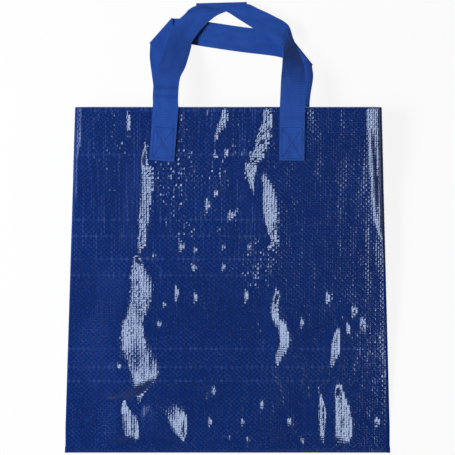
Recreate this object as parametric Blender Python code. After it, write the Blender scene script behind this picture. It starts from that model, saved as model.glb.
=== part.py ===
"""Woven plastic shopping bag with two webbing handles, lying on its back as an empty bag comes to rest.

Metres. +Z is up, +Y points from the sewn bottom to the mouth, +X to the right seen from above.
The origin is on the resting plane under the middle of the body.
"""

import math

import bmesh
import bpy
from mathutils import Vector

# Body: a woven tube, flat at its sewn bottom and a little open at its mouth
TUBE_WIDTH = 0.325  # the tube laid flat, side to side
BODY_LENGTH = 0.344  # mouth edge to bottom edge
FLAT_LENGTH = 0.026  # from the bottom edge up to where front and back panel part
MOUTH_DEPTH = 0.0368  # how far the mouth stands open
FABRIC = 0.0004  # laminated tape fabric
FLAT_GAP = 0.0006  # between front and back panel where the bag lies flat
TAPE_PITCH = 0.00508  # one repeat of the weave, two tapes of a tenth of an inch
TAPE_RELIEF = 0.0003  # how far the warp tapes stand out
MOUTH_HEM = 0.048  # fabric turned in at the mouth
BOTTOM_HEM = 0.006  # folded over and sewn shut
BOTTOM_HEM_RELIEF = 0.0005
STEP_LENGTH = 0.0003  # length over which a hem's edge steps up

# Handles: two lengths of webbing
STRAP_WIDTH = 0.025
STRAP_THICKNESS = 0.0013
PATCH_LENGTH = 0.053  # stretch of each handle end that lies on the panel
FRONT_SPACING = 0.1283  # between the middles of a handle's two ends
FRONT_SHIFT = -0.0008  # the middle of the handle from the middle of the bag
FRONT_SLANTS = {-1: math.radians(4.5), 1: math.radians(0.6)}  # the left end is sewn on a little askew
BACK_SPACING = 0.1317
BACK_SHIFT = 0.0036

# Stitching
THREAD = 0.0004  # height of the sewing thread above what it is sewn to
THREAD_WIDTH = 0.0009
BOX_LENGTH = 0.031  # the sewn box with its cross
BOX_MARGIN = 0.0022  # from the box to the strap's edges
SEAM_HEIGHT = 0.0030  # bottom seam above the bottom edge

SEAT = 0.0003  # clearance between pieces that lie on each other
FOLD_SEAT = 0.0004  # clearance inside a folded strap
LOOSE_ROLL = 0.0042  # the front handle's fold is a loose roll, this far from layer to layer

# Large creases of the front panel. Points are shares of half the tube's width and half the body's length
# from the middle of the body; height and reach are in metres.
CREASES = (
    # left: long crease from beside the handle down to the sharp cross crease near the bottom
    {"path": ((-0.512, 0.85), (-0.530, 0.67), (-0.541, 0.42), (-0.546, 0.17)), "height": 0.0026, "reach": 0.010},
    {"path": ((-0.570, 0.11), (-0.575, -0.01), (-0.580, -0.16), (-0.595, -0.25)),
     "height": 0.0042, "reach": 0.015},
    {"path": ((-0.635, -0.31), (-0.625, -0.40), (-0.585, -0.47), (-0.520, -0.61), (-0.500, -0.68)),
     "height": 0.0048, "reach": 0.017},
    # the two branches it splits into
    {"path": ((-0.428, -0.71), (-0.292, -0.83), (-0.231, -0.90)), "height": 0.0030, "reach": 0.011},
    {"path": ((-0.615, -0.74), (-0.617, -0.94)), "height": 0.0028, "reach": 0.010},
    # middle: from the mouth down between the handles
    {"path": ((0.215, 0.94), (0.172, 0.78), (0.115, 0.62), (0.143, 0.51), (0.210, 0.42), (0.215, 0.32)),
     "height": 0.0022, "reach": 0.009},
    {"path": ((-0.079, 0.96), (-0.063, 0.82)), "height": 0.0016, "reach": 0.008},
    # right: ripples near the bottom corner and between it and the middle
    {"path": ((0.566, -0.73), (0.566, -0.94)), "height": 0.0022, "reach": 0.0085},
    {"path": ((0.664, -0.77), (0.666, -0.94)), "height": 0.0023, "reach": 0.0085},
    {"path": ((0.266, -0.11), (0.260, -0.20), (0.320, -0.36)), "height": 0.0016, "reach": 0.009},
    {"path": ((0.572, -0.11), (0.615, -0.23), (0.634, -0.38)), "height": 0.0017, "reach": 0.009},
)
MIDDLE_FOLD = 0.012  # share of half the length, where the bag was folded for packing
MIDDLE_FOLD_DEPTH = 0.0008
MIDDLE_FOLD_REACH = 0.004
ROW_PITCH = 0.022  # spacing of the body's cross sections

# Route of the front handle between its two ends, from left to right. Each station: x as a share of half the
# spacing, y above the mouth as a share of FRONT_REACH, height as a share of the strap's height at the mouth,
# direction across the strap in degrees, tilt in degrees (right edge down), stretch of the cross line.
FRONT_REACH = 0.1045
FRONT_RISE = (
    (-0.940, 0.083, 1.015, -3, 0, 1.0),
    (-0.932, 0.178, 0.985, -3, 0, 1.0),
    (-0.904, 0.303, 0.83, -10, 0, 1.0),
    (-0.822, 0.422, 0.60, -20, 0, 1.0),
    (-0.770, 0.531, 0.38, -20, 0, 1.0),
    (-0.726, 0.630, 0.21, -28, 0, 1.0),
    (-0.680, 0.718, 0.11, -40, 0, 1.0),
    (-0.520, 0.830, 0.06, -47, 0, 0.90),
    (-0.436, 0.885, 0.05, -28, 0, 0.95),
    (-0.324, 0.932, 0.05, -14, 0, 1.12),
)
FRONT_FOLD = (-0.080, 0.984, 0.05, 1.5, 0, 2.02)
FRONT_FALL = (
    (0.064, 0.975, 0.185, 2, 0, 1.62),
    (0.237, 0.936, 0.180, 5, 0, 1.28),
    (0.415, 0.876, 0.21, 12, 0, 1.18),
    (0.585, 0.814, 0.265, 21, 4, 1.08),
    (0.747, 0.751, 0.35, 38, 10, 0.96),
    (0.867, 0.695, 0.44, 52, 22, 0.90),
    (0.943, 0.617, 0.54, 45, 44, 0.80),
    (0.979, 0.544, 0.64, 18, 46, 0.84),
    (1.002, 0.474, 0.73, -1, 38, 0.90),
    (1.024, 0.390, 0.815, -6, 24, 0.95),
    (1.018, 0.249, 0.945, -2, 10, 0.96),
    (1.012, 0.093, 1.005, 0, 0, 0.98),
)

# Route of the back handle, which folds over itself at both corners
BACK_REACH = 0.0895
BACK_RISE = (
    (-0.997, 0.097, 0.0, 0, 0, 1.0),
    (-0.989, 0.231, 0.0, 3, 0, 1.0),
    (-1.014, 0.388, 0.0, 5, 0, 1.0),
    (-1.046, 0.589, 1.0, 5, 0, 1.0),
)
BACK_LEFT_FOLD = (-1.056, 0.865, 1.0, 48.5, 0, 1.36)
LEFT_FOLD_TOWARD = (-0.75, 0.66, 0)  # the way the folded edge points
BACK_RUN = (
    (-0.701, 0.865, 0.0, 85, 0, 1.0),
    (-0.329, 0.825, 0.8, 83, 0, 1.0),
    (0.134, 0.774, 1.2, 82.5, 0, 1.0),
    (0.590, 0.734, 1.0, 82, 0, 1.0),
    (0.745, 0.716, 1.0, 80, 0, 1.0),
)
BACK_RIGHT_FOLD = (1.059, 0.634, 0.0, 128.5, 0, 1.42)
RIGHT_FOLD_TOWARD = (0.78, 0.62, 0)
BACK_FALL = (
    (1.058, 0.377, 0.0, 173, 0, 1.0),
    (1.020, 0.187, 0.0, 174, 0, 1.0),
    (1.003, 0.075, 0.0, 177, 0, 1.0),
)
STATION_STEPS = 4  # cross sections between two stations of a route
FOLD_STEPS = 4  # steps round a fold

# Worked out from the sizes above
PERIMETER = 2 * TUBE_WIDTH
FLAT_DEPTH = 2 * FABRIC + FLAT_GAP
MOUTH_Y = BODY_LENGTH / 2
BOTTOM_Y = -BODY_LENGTH / 2
FLAT_Y = BOTTOM_Y + FLAT_LENGTH
HEM_TOP = BOTTOM_Y + BOTTOM_HEM
PATCH_Y = MOUTH_Y - PATCH_LENGTH
RIDGES = 4 * round(PERIMETER / TAPE_PITCH / 4)
RIDGE_PITCH = PERIMETER / RIDGES
BACK_STRAP_Z = THREAD + SEAT + STRAP_THICKNESS / 2
PANEL_LIFT = THREAD + SEAT + STRAP_THICKNESS + SEAT
LIFT_LENGTH = 0.025  # stretch over which the back panel climbs onto the handle ends
MITRE_LIFT = STRAP_THICKNESS + FOLD_SEAT


def clear_scene():
    for obj in list(bpy.data.objects):
        bpy.data.objects.remove(obj, do_unlink=True)


def material(name, colour, roughness, metallic=0.0):
    """Principled material with a linear RGB colour."""
    made = bpy.data.materials.new(name)
    made.use_nodes = True
    shader = made.node_tree.nodes["Principled BSDF"]
    shader.inputs["Base Color"].default_value = (*colour, 1.0)
    shader.inputs["Roughness"].default_value = roughness
    shader.inputs["Metallic"].default_value = metallic
    return made


def add_object(name, bm, finish):
    """Object from a closed bmesh, with its normals turned outwards."""
    bmesh.ops.recalc_face_normals(bm, faces=bm.faces)
    mesh = bpy.data.meshes.new(name)
    bm.to_mesh(mesh)
    bm.free()
    mesh.materials.append(finish)
    obj = bpy.data.objects.new(name, mesh)
    bpy.context.scene.collection.objects.link(obj)
    return obj


def smooth(value):
    """Smooth step from 0 to 1."""
    value = min(max(value, 0.0), 1.0)
    return value * value * (3 - 2 * value)


# Body


def panel_lift(y):
    """How far the back panel lies above the resting plane: it rests on the handle ends near the mouth."""
    start = PATCH_Y - SEAT - LIFT_LENGTH
    return PANEL_LIFT * min(max((y - start) / LIFT_LENGTH, 0.0), 1.0)


def section(y):
    """Half width of the flat part, radius of the round sides and height of the back panel at y."""
    share = min(max((y - FLAT_Y) / (MOUTH_Y - FLAT_Y), 0.0), 1.0)
    depth = FLAT_DEPTH + (MOUTH_DEPTH - FLAT_DEPTH) * share
    flat = (PERIMETER - math.pi * depth) / 4
    return flat, depth / 2, TAPE_RELIEF + panel_lift(y)


def crease_rise(crease, x, y):
    """Rounded ridge along the crease's path, fading to nothing at its reach."""
    points = [Vector((u * TUBE_WIDTH / 2, v * BODY_LENGTH / 2)) for u, v in crease["path"]]
    place = Vector((x, y))
    nearest = math.inf
    for start, end in zip(points, points[1:]):
        along = end - start
        share = min(max((place - start).dot(along) / along.length_squared, 0.0), 1.0)
        nearest = min(nearest, (place - start - share * along).length)
    if nearest >= crease["reach"]:
        return 0.0
    return crease["height"] * (1 + math.cos(math.pi * nearest / crease["reach"])) / 2


def clear_of_patches(x, y):
    """From 0 under and beside the ends of the front handle to 1 well away from them."""
    beside = abs(abs(x - FRONT_SHIFT) - FRONT_SPACING / 2) - STRAP_WIDTH / 2
    below = PATCH_Y - y
    away = math.hypot(max(beside, 0.0), max(below, 0.0))
    return smooth((away - RIDGE_PITCH) / (2 * RIDGE_PITCH))


def front_relief(x, y):
    """Height that creases and the packing fold add to the front panel."""
    rise = max(crease_rise(crease, x, y) for crease in CREASES) * clear_of_patches(x, y)
    rise *= smooth((y - HEM_TOP) / (2 * BOTTOM_HEM))
    off_fold = abs(y - MIDDLE_FOLD * BODY_LENGTH / 2)
    rise -= MIDDLE_FOLD_DEPTH * max(0.0, 1 - off_fold / MIDDLE_FOLD_REACH)
    return rise


def wall_point(along, y):
    """Place and outward direction of the tube's wall at a distance along its perimeter from the front's middle."""
    flat, radius, low = section(y)
    along %= PERIMETER
    mirrored = along > PERIMETER / 2
    if mirrored:
        along = PERIMETER - along
    if along < flat:
        place, out = Vector((along, y, low + 2 * radius)), Vector((0, 0, 1))
    elif along < flat + math.pi * radius:
        turn = (along - flat) / radius
        out = Vector((math.sin(turn), 0, math.cos(turn)))
        place = Vector((flat, y, low + radius)) + radius * out
    else:
        place, out = Vector((PERIMETER / 2 - along, y, low)), Vector((0, 0, -1))
    if mirrored:
        place.x, out.x = -place.x, -out.x
    return place, out


def relief_at(along, y):
    """Front relief at a distance along the perimeter, fading out where the panel turns into the side."""
    place, out = wall_point(along, y)
    flat, radius, low = section(y)
    on_front = out.z > 0 and abs(place.x) < flat
    if not on_front:
        return 0.0
    return front_relief(place.x, y) * smooth((flat - abs(place.x)) / (3 * RIDGE_PITCH))


def ridge_columns(ridge):
    """Distances along the perimeter and heights of one ridge: pointed on the front, flat topped on the back."""
    middle = ridge * RIDGE_PITCH
    on_back = RIDGES // 4 < ridge < 3 * RIDGES // 4
    shares = ((-0.5, 0), (-0.3, 1), (0.3, 1)) if on_back else ((-0.5, 0), (0.0, 1))
    return [(middle + share * RIDGE_PITCH, height * TAPE_RELIEF) for share, height in shares]


def body_rows():
    """Cross sections from the bottom edge to the mouth, closer together at hems and folds."""
    fold = MIDDLE_FOLD * BODY_LENGTH / 2
    patch_foot = PATCH_Y - 2 * RIDGE_PITCH
    keys = [
        BOTTOM_Y,
        HEM_TOP,
        HEM_TOP + STEP_LENGTH,
        HEM_TOP + 2 * BOTTOM_HEM,
        FLAT_Y,
        fold - MIDDLE_FOLD_REACH,
        fold,
        fold + MIDDLE_FOLD_REACH,
        PATCH_Y - SEAT - LIFT_LENGTH,
        patch_foot,
        PATCH_Y - SEAT,
        MOUTH_Y - MOUTH_HEM - STEP_LENGTH,
        MOUTH_Y - MOUTH_HEM,
        MOUTH_Y,
    ]
    keys.sort()
    rows = [keys[0]]
    for start, end in zip(keys, keys[1:]):
        steps = max(1, math.ceil((end - start) / ROW_PITCH))
        rows += [start + (end - start) * step / steps for step in range(1, steps + 1)]
    return rows


def outer_ring(bm, y, on_hem):
    """One cross section of the outer wall: a list of vertices for each ridge."""
    ring = []
    for ridge in range(RIDGES):
        verts = []
        for along, height in ridge_columns(ridge):
            place, out = wall_point(along, y)
            place += height * out
            place.z += relief_at(along, y)
            if on_hem:
                place.z += BOTTOM_HEM_RELIEF * max(0.0, out.z)
            verts.append(bm.verts.new(place))
        ring.append(verts)
    return ring


def inner_ring(bm, y, in_hem):
    """One cross section of the inner wall, with a vertex under each groove between two ridges."""
    inset = 2 * FABRIC if in_hem else FABRIC
    ring = []
    for ridge in range(RIDGES):
        along = (ridge - 0.5) * RIDGE_PITCH
        place, out = wall_point(along, y)
        place -= inset * out
        place.z += min(relief_at(along + share * RIDGE_PITCH, y) for share in (-0.5, 0, 0.5))
        ring.append(bm.verts.new(place))
    return ring


def next_ridge(ridge):
    return (ridge + 1) % RIDGES


def wall_between(bm, low, high):
    """Faces between two rings that are flat lists of vertices."""
    count = len(low)
    for i in range(count):
        j = (i + 1) % count
        bm.faces.new((low[i], low[j], high[j], high[i]))


def flat_list(ring):
    return [vert for verts in ring for vert in verts]


def close_mouth(bm, outer, inner):
    """The mouth's edge, one face for each ridge."""
    for ridge in range(RIDGES):
        other = next_ridge(ridge)
        bm.faces.new([*outer[ridge], outer[other][0], inner[other], inner[ridge]])


def mirror_ridge(ridge):
    """The ridge on the other panel that lies over or under this one."""
    return (RIDGES // 2 - ridge) % RIDGES


def close_bottom(bm, outer):
    """The bottom edge: each face joins a ridge of the front with the ridge of the back under it."""
    side = RIDGES // 4
    for ridge in range(1 - side, side):
        front, back = ridge % RIDGES, mirror_ridge(ridge)
        bm.faces.new([*outer[front], outer[next_ridge(front)][0], *outer[back], outer[next_ridge(back)][0]])
    for ridge in (side, RIDGES - side):
        bm.faces.new([*outer[ridge], outer[next_ridge(ridge)][0]])


def close_pocket(bm, inner):
    """The bottom of the pocket, in strips from front to back."""
    side = RIDGES // 4
    for ridge in range(1 - side, side):
        front, back = ridge % RIDGES, mirror_ridge(ridge)
        bm.faces.new((inner[front], inner[next_ridge(front)], inner[back], inner[next_ridge(back)]))


def make_body(finish):
    """The tube as one closed shell: outer wall, mouth edge, inner wall and sewn bottom."""
    bm = bmesh.new()
    rows = body_rows()
    hem_inside = MOUTH_Y - MOUTH_HEM - STEP_LENGTH / 2
    outer = [outer_ring(bm, y, y < HEM_TOP + STEP_LENGTH / 2) for y in rows]
    inner = [inner_ring(bm, y, y > hem_inside) for y in rows if y > HEM_TOP + STEP_LENGTH / 2]
    for low, high in zip(outer, outer[1:]):
        wall_between(bm, flat_list(low), flat_list(high))
    for low, high in zip(inner, inner[1:]):
        wall_between(bm, low, high)
    close_mouth(bm, outer[-1], inner[-1])
    close_bottom(bm, outer[0])
    close_pocket(bm, inner[0])
    return add_object("bag_body", bm, finish)


# Handles


def front_strap_z(y):
    """Height of the middle of the strap where it lies on the front panel."""
    flat, radius, low = section(y)
    return low + 2 * radius + TAPE_RELIEF + SEAT + STRAP_THICKNESS / 2


def cross_line(centre, angle, tilt, stretch):
    """Left and right edge of the strap at a station."""
    across = Vector((math.cos(angle) * math.cos(tilt), math.sin(angle) * math.cos(tilt), -math.sin(tilt)))
    half = across * STRAP_WIDTH * stretch / 2
    return centre - half, centre + half


def front_end_middle(side, y):
    """Middle of the strap at y on one of the handle's sewn ends."""
    slant = math.tan(FRONT_SLANTS[side]) * (y - PATCH_Y)
    return Vector((side * FRONT_SPACING / 2 + FRONT_SHIFT + slant, y, front_strap_z(y)))


def front_station(station):
    x, reach, rise, angle, tilt, stretch = station
    low = STRAP_THICKNESS / 2 + 2 * MITRE_LIFT + SEAT
    centre = Vector((
        x * FRONT_SPACING / 2 + FRONT_SHIFT,
        MOUTH_Y + reach * FRONT_REACH,
        low + (front_strap_z(MOUTH_Y) - low) * rise,
    ))
    return cross_line(centre, math.radians(angle), math.radians(tilt), stretch)


def back_station(station):
    x, reach, rise, angle, tilt, stretch = station
    start = BACK_STRAP_Z if reach < 0.1 else STRAP_THICKNESS / 2
    centre = Vector((
        x * BACK_SPACING / 2 + BACK_SHIFT,
        MOUTH_Y + reach * BACK_REACH,
        start + rise * MITRE_LIFT,
    ))
    return cross_line(centre, math.radians(angle), math.radians(tilt), stretch)


def curve_between(points, steps):
    """Smooth curve through the points, each stretch as steep at its ends as the chord past it."""
    padded = [2 * points[0] - points[1], *points, 2 * points[-1] - points[-2]]
    made = [points[0]]
    for a, b, c, d in zip(padded, padded[1:], padded[2:], padded[3:]):
        reach = (c - b).length
        leaving, arriving = (c - a).normalized() * reach, (d - b).normalized() * reach
        for step in range(1, steps + 1):
            t = step / steps
            back = 1 - t
            made.append(b * back * back * (1 + 2 * t) + leaving * t * back * back
                        + c * t * t * (3 - 2 * t) - arriving * t * t * back)
    return made


def stretch_of_strap(lines):
    """Smooth stretch of strap through cross lines."""
    left = curve_between([line[0] for line in lines], STATION_STEPS)
    right = curve_between([line[1] for line in lines], STATION_STEPS)
    return list(zip(left, right))


def fold_lines(line, lift, outward):
    """Cross lines round a folded edge, from one layer to the other one above it, or below if lift is negative."""
    radius = abs(lift) / 2
    lines = []
    for step in range(FOLD_STEPS + 1):
        turn = math.pi * step / FOLD_STEPS
        risen = lift * (1 - math.cos(turn)) / 2
        shift = outward * radius * math.sin(turn) + Vector((0, 0, risen))
        lines.append((line[0] + shift, line[1] + shift))
    return lines


def strap_mesh(lines):
    """Closed ribbon of the strap's thickness round a run of cross lines."""
    bm = bmesh.new()
    rings = []
    last = len(lines) - 1
    for i, (left, right) in enumerate(lines):
        before, after = lines[max(i - 1, 0)], lines[min(i + 1, last)]
        forward = after[0] + after[1] - before[0] - before[1]
        normal = (right - left).cross(forward).normalized() * STRAP_THICKNESS / 2
        corners = (left + normal, right + normal, right - normal, left - normal)
        rings.append([bm.verts.new(corner) for corner in corners])
    for low, high in zip(rings, rings[1:]):
        wall_between(bm, low, high)
    bm.faces.new(rings[0])
    bm.faces.new(rings[-1])
    return bm


def make_front_handle(finish):
    """Sewn end, leg, fold at the top, second leg and sewn end of the handle on the front panel."""
    ends = []
    for side in (-1, 1):
        for y in (PATCH_Y, MOUTH_Y):
            ends.append(cross_line(front_end_middle(side, y), -FRONT_SLANTS[side], 0, 1))
    low_layer = front_station(FRONT_FOLD)
    folded = fold_lines(low_layer, LOOSE_ROLL, Vector((0, 1, 0)))
    lines = [ends[0]]
    lines += stretch_of_strap([ends[1], *map(front_station, FRONT_RISE), folded[0]])[:-1]
    lines += folded
    lines += stretch_of_strap([folded[-1], *map(front_station, FRONT_FALL), ends[3]])[1:]
    lines.append(ends[2])
    return add_object("front_handle", strap_mesh(lines), finish)


def make_back_handle(finish):
    """Sewn end, leg, fold, cross run, fold, leg and sewn end of the handle under the back panel."""
    ends = []
    for side, angle in ((-1, 0), (1, math.pi)):
        for y in (PATCH_Y, MOUTH_Y):
            centre = Vector((side * BACK_SPACING / 2 + BACK_SHIFT, y, BACK_STRAP_Z))
            ends.append(cross_line(centre, angle, 0, 1))
    left_fold = fold_lines(back_station(BACK_LEFT_FOLD), -MITRE_LIFT, Vector(LEFT_FOLD_TOWARD))
    right_top = back_station(BACK_RIGHT_FOLD)
    right_top = tuple(place + Vector((0, 0, MITRE_LIFT)) for place in right_top)
    right_fold = fold_lines(right_top, -MITRE_LIFT, Vector(RIGHT_FOLD_TOWARD))
    lines = [ends[0]]
    lines += stretch_of_strap([ends[1], *map(back_station, BACK_RISE), left_fold[0]])[:-1]
    lines += left_fold
    lines += stretch_of_strap([left_fold[-1], *map(back_station, BACK_RUN), right_fold[0]])[1:-1]
    lines += right_fold
    lines += stretch_of_strap([right_fold[-1], *map(back_station, BACK_FALL), ends[3]])[1:]
    lines.append(ends[2])
    return add_object("back_handle", strap_mesh(lines), finish)


# Stitching


def extruded(outlines):
    """Closed plate, THREAD high above z = 0, from a flat outline and its holes."""
    bm = bmesh.new()
    edges = []
    for outline in outlines:
        verts = [bm.verts.new((x, y, 0)) for x, y in outline]
        edges += [bm.edges.new((verts[i - 1], verts[i])) for i in range(len(verts))]
    bmesh.ops.triangle_fill(bm, use_beauty=True, use_dissolve=False, edges=edges)
    raised = bmesh.ops.extrude_face_region(bm, geom=bm.faces[:])
    tops = [item for item in raised["geom"] if isinstance(item, bmesh.types.BMVert)]
    bmesh.ops.translate(bm, verts=tops, vec=(0, 0, THREAD))
    return bm


def box_with_cross():
    """Outline and four three-cornered holes of a sewn box with a cross in it."""
    half_x = STRAP_WIDTH / 2 - BOX_MARGIN
    half_y = BOX_LENGTH / 2
    outline = [(-half_x, -half_y), (half_x, -half_y), (half_x, half_y), (-half_x, half_y)]
    in_x = half_x - THREAD_WIDTH
    in_y = half_y - THREAD_WIDTH
    diagonal = math.hypot(in_x, in_y)
    skip_x = THREAD_WIDTH / 2 * diagonal / in_y
    skip_y = THREAD_WIDTH / 2 * diagonal / in_x
    holes = []
    for side in (-1, 1):
        holes.append([(side * skip_x, 0), (side * in_x, skip_y - in_y), (side * in_x, in_y - skip_y)])
        holes.append([(0, side * skip_y), (skip_x - in_x, side * in_y), (in_x - skip_x, side * in_y)])
    return [outline, *holes]


def make_handle_stitching(finish):
    """The four sewn boxes: on top of the front handle's ends, and underneath the back handle's."""
    middle = PATCH_Y + BOX_MARGIN + BOX_LENGTH / 2
    slope = math.atan((front_strap_z(MOUTH_Y) - front_strap_z(PATCH_Y)) / PATCH_LENGTH)
    strap_top = (STRAP_THICKNESS / 2 + SEAT) / math.cos(slope)
    for side, name in ((-1, "left"), (1, "right")):
        front = add_object(f"front_{name}_stitching", extruded(box_with_cross()), finish)
        front.location = front_end_middle(side, middle) + Vector((0, 0, strap_top))
        front.rotation_euler = (slope, 0, -FRONT_SLANTS[side])
        back = add_object(f"back_{name}_stitching", extruded(box_with_cross()), finish)
        back.location = (side * BACK_SPACING / 2 + BACK_SHIFT, middle, 0)


def make_bottom_stitching(finish):
    """The seam through the folded bottom edge."""
    flat, radius, low = section(BOTTOM_Y)
    half_x = flat - 2 * RIDGE_PITCH
    half_y = THREAD_WIDTH / 2
    outline = [(-half_x, -half_y), (half_x, -half_y), (half_x, half_y), (-half_x, half_y)]
    seam = add_object("bottom_seam_stitching", extruded([outline]), finish)
    hem_face = low + 2 * radius + TAPE_RELIEF + BOTTOM_HEM_RELIEF
    seam.location = (0, BOTTOM_Y + SEAM_HEIGHT, hem_face + SEAT)


def main():
    clear_scene()
    fabric = material("laminated_weave", (0.009, 0.023, 0.141), 0.30)
    webbing = material("webbing", (0.024, 0.072, 0.319), 0.75)
    thread = material("sewing_thread", (0.020, 0.060, 0.290), 0.60)
    make_body(fabric)
    make_front_handle(webbing)
    make_back_handle(webbing)
    make_handle_stitching(thread)
    make_bottom_stitching(thread)


main()
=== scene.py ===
# Woven shopping bag lying on its back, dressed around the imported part.
# Metres, +Z up, +Y from the sewn bottom to the mouth, the same frame as the part.

import math

import bpy
import numpy as np
from mathutils import Matrix, Vector, noise


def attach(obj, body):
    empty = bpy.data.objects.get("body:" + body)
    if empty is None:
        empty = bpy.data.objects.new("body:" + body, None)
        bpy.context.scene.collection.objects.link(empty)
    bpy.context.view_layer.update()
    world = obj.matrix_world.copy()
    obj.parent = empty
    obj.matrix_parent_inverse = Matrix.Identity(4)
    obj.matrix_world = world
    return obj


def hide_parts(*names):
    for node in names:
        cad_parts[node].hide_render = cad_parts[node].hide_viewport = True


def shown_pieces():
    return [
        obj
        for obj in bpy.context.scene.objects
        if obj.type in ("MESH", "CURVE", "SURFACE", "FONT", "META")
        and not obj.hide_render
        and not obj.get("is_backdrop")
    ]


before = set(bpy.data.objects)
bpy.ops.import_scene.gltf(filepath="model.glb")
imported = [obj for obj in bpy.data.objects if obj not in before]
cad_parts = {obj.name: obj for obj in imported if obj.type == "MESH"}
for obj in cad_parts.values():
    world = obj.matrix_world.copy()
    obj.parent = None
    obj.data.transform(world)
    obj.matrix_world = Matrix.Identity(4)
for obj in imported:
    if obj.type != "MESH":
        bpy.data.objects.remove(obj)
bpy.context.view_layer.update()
print("frame loaded")


# Small helpers


def deselectAll():
    if bpy.context.object and bpy.context.object.mode != "OBJECT":
        bpy.ops.object.mode_set(mode="OBJECT")
    bpy.ops.object.select_all(action="DESELECT")


def makeActive(obj):
    deselectAll()
    obj.select_set(True)
    bpy.context.view_layer.objects.active = obj


def applyModifiers(obj):
    makeActive(obj)
    for modifier in list(obj.modifiers):
        bpy.ops.object.modifier_apply(modifier=modifier.name)


def smoothStep(value):
    value = np.clip(value, 0.0, 1.0)
    return value * value * (3 - 2 * value)


def addGrid(name, columns, rows):
    # flat grid with its UV map; returns the object and each vertex's column and row
    deselectAll()
    bpy.ops.mesh.primitive_grid_add(x_subdivisions=columns, y_subdivisions=rows, size=1.0, calc_uvs=True)
    obj = bpy.context.object
    obj.name = name
    obj.data.name = name
    places = np.empty(len(obj.data.vertices) * 3)
    obj.data.vertices.foreach_get("co", places)
    places = places.reshape(-1, 3)
    column = np.rint((places[:, 0] + 0.5) * columns).astype(int)
    row = np.rint((places[:, 1] + 0.5) * rows).astype(int)
    return obj, column, row


def setPlaces(obj, places):
    obj.data.vertices.foreach_set("co", np.ascontiguousarray(places, dtype=float).ravel())
    obj.data.update()


def setUv(obj, name, perVertex):
    # rewrites the grid's UV map from one pair per vertex
    layer = obj.data.uv_layers[0]
    layer.name = name
    corner = np.empty(len(obj.data.loops), dtype=int)
    obj.data.loops.foreach_get("vertex_index", corner)
    layer.data.foreach_set("uv", np.ascontiguousarray(perVertex[corner], dtype=float).ravel())


# Shader maths

class Wire:
    # a socket that takes part in sums like a number
    def __init__(self, graph, socket):
        self.graph = graph
        self.socket = socket

    def __add__(self, other):
        return self.graph.maths("ADD", self, other)

    def __radd__(self, other):
        return self.graph.maths("ADD", other, self)

    def __sub__(self, other):
        return self.graph.maths("SUBTRACT", self, other)

    def __rsub__(self, other):
        return self.graph.maths("SUBTRACT", other, self)

    def __mul__(self, other):
        return self.graph.maths("MULTIPLY", self, other)

    def __truediv__(self, other):
        return self.graph.maths("DIVIDE", self, other)

    def __pow__(self, other):
        return self.graph.maths("POWER", self, other)

    def floor(self):
        return self.graph.maths("FLOOR", self)

    def fract(self):
        return self.graph.maths("FRACT", self)

    def sine(self):
        return self.graph.maths("SINE", self)

    def size(self):
        return self.graph.maths("ABSOLUTE", self)

    def atMost(self, other):
        return self.graph.maths("MINIMUM", self, other)

    def atLeast(self, other):
        return self.graph.maths("MAXIMUM", self, other)

    def band(self, low, high):
        # 0 below low, 1 above high, smooth between
        return self.graph.node("ShaderNodeMapRange", {"interpolation_type": "SMOOTHSTEP"},
                               {"Value": self, "From Min": low, "From Max": high})


class Graph:
    # the nodes of a material or of the world
    def __init__(self, owner, shader="Principled BSDF"):
        owner.use_nodes = True
        self.owner = owner
        self.tree = owner.node_tree
        self.shader = self.tree.nodes[shader]

    def node(self, kind, settings=None, inputs=None, output=0):
        made = self.tree.nodes.new(kind)
        for key, value in (settings or {}).items():
            setattr(made, key, value)
        for key, value in (inputs or {}).items():
            self.feed(made.inputs[key], value)
        return Wire(self, made.outputs[output])

    def feed(self, socket, value):
        if isinstance(value, Wire):
            self.tree.links.new(value.socket, socket)
        elif isinstance(value, tuple) and len(value) == 3 and socket.type == "RGBA":
            socket.default_value = (*value, 1.0)
        else:
            socket.default_value = value

    def maths(self, operation, *values):
        return self.node("ShaderNodeMath", {"operation": operation}, dict(enumerate(values)))

    def split(self, vector):
        apart = self.node("ShaderNodeSeparateXYZ", None, {0: vector})
        outs = apart.socket.node.outputs
        return Wire(self, outs[0]), Wire(self, outs[1]), Wire(self, outs[2])

    def join(self, x, y, z=0.0):
        return self.node("ShaderNodeCombineXYZ", None, {0: x, 1: y, 2: z})

    def blend(self, share, first, second):
        # the inputs 0, 6 and 7 and the output 2 are the ones for colours
        return self.node("ShaderNodeMix", {"data_type": "RGBA"}, {0: share, 6: first, 7: second}, 2)

    def noise(self, vector, scale, detail=2.0):
        return self.node("ShaderNodeTexNoise", None, {"Vector": vector, "Scale": scale, "Detail": detail})

    def whiteNoise(self, x, y):
        # three random numbers for each whole pair of numbers
        place = {"Vector": self.join(x, y)}
        return self.split(self.node("ShaderNodeTexWhiteNoise", {"noise_dimensions": "2D"}, place, "Color"))

    def bump(self, height):
        # height in metres
        return self.node("ShaderNodeBump", None, {"Strength": 1.0, "Distance": 1.0, "Height": height})

    def mixIn(self, share, other):
        # puts a second shader over the first one by a share
        first = Wire(self, self.shader.outputs[0])
        mixed = self.node("ShaderNodeMixShader", None, {0: share, 1: first, 2: other})
        self.feed(self.tree.nodes["Material Output"].inputs["Surface"], mixed)

    def finish(self, values):
        for key, value in values.items():
            self.feed(self.shader.inputs[key], value)
        return self.owner


# Camera, lights and floor

studio = {
    "cameraHeight": 2.528,
    "pictureMiddle": 0.0532,  # the bag reaches further up the picture than down
    "lens": 200.0,
    "ceiling": 0.02,  # brightness of the room overhead
    "walls": 0.16,  # and of the room around
    "overhead": (0.20, 0.95),  # upward share of a direction, from the walls' brightness to the ceiling's
    "horizon": (0.04, 0.18),  # reflections see the white background below this
    "lampDistance": 1.6,
    "floorGlow": 0.90,  # share of the floor that is plain white, the rest shows the shadow
}

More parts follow.
